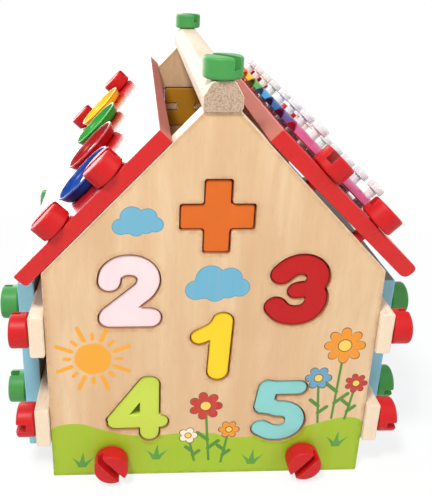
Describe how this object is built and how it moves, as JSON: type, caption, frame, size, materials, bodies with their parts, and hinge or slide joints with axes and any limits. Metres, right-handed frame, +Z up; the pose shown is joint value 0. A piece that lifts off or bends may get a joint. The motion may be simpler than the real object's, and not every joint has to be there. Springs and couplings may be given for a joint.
{
  "type": "wooden activity house",
  "caption": "Screwed wooden play house with number puzzle gables, spinning roof dishes and a roof xylophone.",
  "frame": {"origin": "middle of the footprint, on the ground under the house", "axes": "+X to the right seen from the front, +Y from the front gable to the back gable, +Z up"},
  "size_m": [0.2466, 0.2626, 0.2526],
  "materials": {
    "varnished_wood": "clear varnish, satin",
    "bare_wood": "bare, sanded",
    "red_board": "gloss red paint",
    "grey_blue_board": "satin grey-blue paint",
    "orange_insert": "satin paint",
    "pale_pink_insert": "satin paint",
    "yellow_insert": "satin paint",
    "red_insert": "satin paint",
    "lime_insert": "satin paint",
    "turquoise_insert": "satin paint",
    "ochre_insert": "satin paint",
    "light_blue_insert": "satin paint",
    "leaf_green_insert": "satin paint",
    "violet_insert": "satin paint",
    "red_bolt": "moulded, gloss",
    "green_bolt": "moulded, gloss",
    "dark_blue_dish": "moulded, gloss",
    "red_dish": "moulded, gloss",
    "leaf_green_dish": "moulded, gloss",
    "yellow_dish": "moulded, gloss",
    "pink_key": "gloss",
    "violet_key": "gloss",
    "dark_blue_key": "gloss",
    "light_blue_key": "gloss",
    "leaf_green_key": "gloss",
    "yellow_key": "gloss",
    "orange_key": "gloss",
    "red_key": "gloss"
  },
  "bodies": {
    "house": {"front_gable": "varnished_wood", "back_gable": "varnished_wood", "left_wall": "grey_blue_board", "right_wall": "grey_blue_board", "floor_board": "varnished_wood", "ridge_beam": "bare_wood", "left_roof": "red_board", "right_roof": "red_board", "left_lower_batten": "bare_wood", "left_upper_batten": "bare_wood", "right_lower_batten": "bare_wood", "right_upper_batten": "bare_wood"},
    "insert_plus": {"insert_plus": "orange_insert"},
    "insert_one": {"insert_one": "yellow_insert"},
    "insert_two": {"insert_two": "pale_pink_insert"},
    "insert_three": {"insert_three": "red_insert"},
    "insert_four": {"insert_four": "lime_insert"},
    "insert_five": {"insert_five": "turquoise_insert"},
    "insert_equals": {"insert_equals": "ochre_insert"},
    "insert_six": {"insert_six": "violet_insert"},
    "insert_seven": {"insert_seven": "light_blue_insert"},
    "insert_eight": {"insert_eight": "leaf_green_insert"},
    "insert_nine": {"insert_nine": "orange_insert"},
    "insert_zero": {"insert_zero": "red_insert"},
    "dish_blue": {"dish_blue": "dark_blue_dish"},
    "dish_red": {"dish_red": "red_dish"},
    "dish_green": {"dish_green": "leaf_green_dish"},
    "dish_yellow": {"dish_yellow": "yellow_dish"},
    "xylophone_key_pink": {"xylophone_key_pink": "pink_key"},
    "xylophone_key_purple": {"xylophone_key_purple": "violet_key"},
    "xylophone_key_dark_blue": {"xylophone_key_dark_blue": "dark_blue_key"},
    "xylophone_key_light_blue": {"xylophone_key_light_blue": "light_blue_key"},
    "xylophone_key_green": {"xylophone_key_green": "leaf_green_key"},
    "xylophone_key_yellow": {"xylophone_key_yellow": "yellow_key"},
    "xylophone_key_orange": {"xylophone_key_orange": "orange_key"},
    "xylophone_key_red": {"xylophone_key_red": "red_key"},
    "roof_bolt_left_front_upper": {"roof_bolt_left_front_upper": "red_bolt"},
    "roof_bolt_left_front_lower": {"roof_bolt_left_front_lower": "red_bolt"},
    "roof_bolt_left_back_upper": {"roof_bolt_left_back_upper": "red_bolt"},
    "roof_bolt_left_back_lower": {"roof_bolt_left_back_lower": "red_bolt"},
    "roof_bolt_right_front_upper": {"roof_bolt_right_front_upper": "red_bolt"},
    "roof_bolt_right_front_lower": {"roof_bolt_right_front_lower": "red_bolt"},
    "roof_bolt_right_back_upper": {"roof_bolt_right_back_upper": "red_bolt"},
    "roof_bolt_right_back_lower": {"roof_bolt_right_back_lower": "red_bolt"},
    "wall_bolt_left_front_lower": {"wall_bolt_left_front_lower": "red_bolt"},
    "wall_bolt_left_front_upper": {"wall_bolt_left_front_upper": "red_bolt"},
    "wall_bolt_left_back_lower": {"wall_bolt_left_back_lower": "red_bolt"},
    "wall_bolt_left_back_upper": {"wall_bolt_left_back_upper": "red_bolt"},
    "wall_bolt_right_front_lower": {"wall_bolt_right_front_lower": "red_bolt"},
    "wall_bolt_right_front_upper": {"wall_bolt_right_front_upper": "red_bolt"},
    "wall_bolt_right_back_lower": {"wall_bolt_right_back_lower": "red_bolt"},
    "wall_bolt_right_back_upper": {"wall_bolt_right_back_upper": "red_bolt"},
    "ridge_bolt_front": {"ridge_bolt_front": "green_bolt"},
    "ridge_bolt_back": {"ridge_bolt_back": "green_bolt"},
    "floor_bolt_front_left": {"floor_bolt_front_left": "red_bolt"},
    "floor_bolt_front_right": {"floor_bolt_front_right": "red_bolt"},
    "floor_bolt_back_left": {"floor_bolt_back_left": "red_bolt"},
    "floor_bolt_back_right": {"floor_bolt_back_right": "red_bolt"}
  },
  "joints": [
    {"name": "insert_plus_pull", "type": "slide", "parent": "house", "child": "insert_plus", "axis": [0, -1, 0], "range_m": [-0.03, 0.03]},
    {"name": "insert_one_pull", "type": "slide", "parent": "house", "child": "insert_one", "axis": [0, -1, 0], "range_m": [-0.03, 0.03]},
    {"name": "insert_two_pull", "type": "slide", "parent": "house", "child": "insert_two", "axis": [0, -1, 0], "range_m": [-0.03, 0.03]},
    {"name": "insert_three_pull", "type": "slide", "parent": "house", "child": "insert_three", "axis": [0, -1, 0], "range_m": [-0.03, 0.03]},
    {"name": "insert_four_pull", "type": "slide", "parent": "house", "child": "insert_four", "axis": [0, -1, 0], "range_m": [-0.03, 0.03]},
    {"name": "insert_five_pull", "type": "slide", "parent": "house", "child": "insert_five", "axis": [0, -1, 0], "range_m": [-0.03, 0.03]},
    {"name": "insert_equals_pull", "type": "slide", "parent": "house", "child": "insert_equals", "axis": [0, 1, 0], "range_m": [-0.03, 0.03]},
    {"name": "insert_six_pull", "type": "slide", "parent": "house", "child": "insert_six", "axis": [0, 1, 0], "range_m": [-0.03, 0.03]},
    {"name": "insert_seven_pull", "type": "slide", "parent": "house", "child": "insert_seven", "axis": [0, 1, 0], "range_m": [-0.03, 0.03]},
    {"name": "insert_eight_pull", "type": "slide", "parent": "house", "child": "insert_eight", "axis": [0, 1, 0], "range_m": [-0.03, 0.03]},
    {"name": "insert_nine_pull", "type": "slide", "parent": "house", "child": "insert_nine", "axis": [0, 1, 0], "range_m": [-0.03, 0.03]},
    {"name": "insert_zero_pull", "type": "slide", "parent": "house", "child": "insert_zero", "axis": [0, 1, 0], "range_m": [-0.03, 0.03]},
    {"name": "dish_blue_spin", "type": "hinge", "parent": "house", "child": "dish_blue", "pos_m": [-0.06799, -0.084, 0.17839], "axis": [-0.7232, 0, 0.6906], "continuous": true},
    {"name": "dish_red_spin", "type": "hinge", "parent": "house", "child": "dish_red", "pos_m": [-0.06799, -0.028, 0.17839], "axis": [-0.7232, 0, 0.6906], "continuous": true},
    {"name": "dish_green_spin", "type": "hinge", "parent": "house", "child": "dish_green", "pos_m": [-0.06799, 0.028, 0.17839], "axis": [-0.7232, 0, 0.6906], "continuous": true},
    {"name": "dish_yellow_spin", "type": "hinge", "parent": "house", "child": "dish_yellow", "pos_m": [-0.06799, 0.084, 0.17839], "axis": [-0.7232, 0, 0.6906], "continuous": true},
    {"name": "xylophone_key_pink_lift", "type": "slide", "parent": "house", "child": "xylophone_key_pink", "axis": [0.6999, 0, 0.7142], "range_m": [0, 0.0042]},
    {"name": "xylophone_key_purple_lift", "type": "slide", "parent": "house", "child": "xylophone_key_purple", "axis": [0.6999, 0, 0.7142], "range_m": [0, 0.0042]},
    {"name": "xylophone_key_dark_blue_lift", "type": "slide", "parent": "house", "child": "xylophone_key_dark_blue", "axis": [0.6999, 0, 0.7142], "range_m": [0, 0.0042]},
    {"name": "xylophone_key_light_blue_lift", "type": "slide", "parent": "house", "child": "xylophone_key_light_blue", "axis": [0.6999, 0, 0.7142], "range_m": [0, 0.0042]},
    {"name": "xylophone_key_green_lift", "type": "slide", "parent": "house", "child": "xylophone_key_green", "axis": [0.6999, 0, 0.7142], "range_m": [0, 0.0042]},
    {"name": "xylophone_key_yellow_lift", "type": "slide", "parent": "house", "child": "xylophone_key_yellow", "axis": [0.6999, 0, 0.7142], "range_m": [0, 0.0042]},
    {"name": "xylophone_key_orange_lift", "type": "slide", "parent": "house", "child": "xylophone_key_orange", "axis": [0.6999, 0, 0.7142], "range_m": [0, 0.0042]},
    {"name": "xylophone_key_red_lift", "type": "slide", "parent": "house", "child": "xylophone_key_red", "axis": [0.6999, 0, 0.7142], "range_m": [0, 0.0042]},
    {"name": "roof_bolt_left_front_upper_turn", "type": "hinge", "parent": "house", "child": "roof_bolt_left_front_upper", "pos_m": [-0.055, -0.1135, 0.19156], "axis": [-0.7232, 0, 0.6906], "continuous": true},
    {"name": "roof_bolt_left_front_lower_turn", "type": "hinge", "parent": "house", "child": "roof_bolt_left_front_lower", "pos_m": [-0.08331, -0.1135, 0.16191], "axis": [-0.7232, 0, 0.6906], "continuous": true},
    {"name": "roof_bolt_left_back_upper_turn", "type": "hinge", "parent": "house", "child": "roof_bolt_left_back_upper", "pos_m": [-0.055, 0.1135, 0.19156], "axis": [-0.7232, 0, 0.6906], "continuous": true},
    {"name": "roof_bolt_left_back_lower_turn", "type": "hinge", "parent": "house", "child": "roof_bolt_left_back_lower", "pos_m": [-0.08331, 0.1135, 0.16191], "axis": [-0.7232, 0, 0.6906], "continuous": true},
    {"name": "roof_bolt_right_front_upper_turn", "type": "hinge", "parent": "house", "child": "roof_bolt_right_front_upper", "pos_m": [0.05584, -0.1135, 0.19281], "axis": [0.6999, 0, 0.7142], "continuous": true},
    {"name": "roof_bolt_right_front_lower_turn", "type": "hinge", "parent": "house", "child": "roof_bolt_right_front_lower", "pos_m": [0.08513, -0.1135, 0.16411], "axis": [0.6999, 0, 0.7142], "continuous": true},
    {"name": "roof_bolt_right_back_upper_turn", "type": "hinge", "parent": "house", "child": "roof_bolt_right_back_upper", "pos_m": [0.05584, 0.1135, 0.19281], "axis": [0.6999, 0, 0.7142], "continuous": true},
    {"name": "roof_bolt_right_back_lower_turn", "type": "hinge", "parent": "house", "child": "roof_bolt_right_back_lower", "pos_m": [0.08513, 0.1135, 0.16411], "axis": [0.6999, 0, 0.7142], "continuous": true},
    {"name": "wall_bolt_left_front_lower_turn", "type": "hinge", "parent": "house", "child": "wall_bolt_left_front_lower", "pos_m": [-0.1017, -0.1135, 0.0375], "axis": [-1, 0, 0], "continuous": true},
    {"name": "wall_bolt_left_front_upper_turn", "type": "hinge", "parent": "house", "child": "wall_bolt_left_front_upper", "pos_m": [-0.1017, -0.1135, 0.0995], "axis": [-1, 0, 0], "continuous": true},
    {"name": "wall_bolt_left_back_lower_turn", "type": "hinge", "parent": "house", "child": "wall_bolt_left_back_lower", "pos_m": [-0.1017, 0.1135, 0.0375], "axis": [-1, 0, 0], "continuous": true},
    {"name": "wall_bolt_left_back_upper_turn", "type": "hinge", "parent": "house", "child": "wall_bolt_left_back_upper", "pos_m": [-0.1017, 0.1135, 0.0995], "axis": [-1, 0, 0], "continuous": true},
    {"name": "wall_bolt_right_front_lower_turn", "type": "hinge", "parent": "house", "child": "wall_bolt_right_front_lower", "pos_m": [0.1017, -0.1135, 0.0375], "axis": [1, 0, 0], "continuous": true},
    {"name": "wall_bolt_right_front_upper_turn", "type": "hinge", "parent": "house", "child": "wall_bolt_right_front_upper", "pos_m": [0.1017, -0.1135, 0.0995], "axis": [1, 0, 0], "continuous": true},
    {"name": "wall_bolt_right_back_lower_turn", "type": "hinge", "parent": "house", "child": "wall_bolt_right_back_lower", "pos_m": [0.1017, 0.1135, 0.0375], "axis": [1, 0, 0], "continuous": true},
    {"name": "wall_bolt_right_back_upper_turn", "type": "hinge", "parent": "house", "child": "wall_bolt_right_back_upper", "pos_m": [0.1017, 0.1135, 0.0995], "axis": [1, 0, 0], "continuous": true},
    {"name": "ridge_bolt_front_turn", "type": "hinge", "parent": "house", "child": "ridge_bolt_front", "pos_m": [0, -0.1135, 0.2413], "axis": [0, 0, 1], "continuous": true},
    {"name": "ridge_bolt_back_turn", "type": "hinge", "parent": "house", "child": "ridge_bolt_back", "pos_m": [0, 0.1135, 0.2413], "axis": [0, 0, 1], "continuous": true},
    {"name": "floor_bolt_front_left_turn", "type": "hinge", "parent": "house", "child": "floor_bolt_front_left", "pos_m": [-0.0575, -0.12, 0.0135], "axis": [0, -1, 0], "continuous": true},
    {"name": "floor_bolt_front_right_turn", "type": "hinge", "parent": "house", "child": "floor_bolt_front_right", "pos_m": [0.0575, -0.12, 0.0135], "axis": [0, -1, 0], "continuous": true},
    {"name": "floor_bolt_back_left_turn", "type": "hinge", "parent": "house", "child": "floor_bolt_back_left", "pos_m": [-0.0575, 0.12, 0.0135], "axis": [0, 1, 0], "continuous": true},
    {"name": "floor_bolt_back_right_turn", "type": "hinge", "parent": "house", "child": "floor_bolt_back_right", "pos_m": [0.0575, 0.12, 0.0135], "axis": [0, 1, 0], "continuous": true}
  ]
}
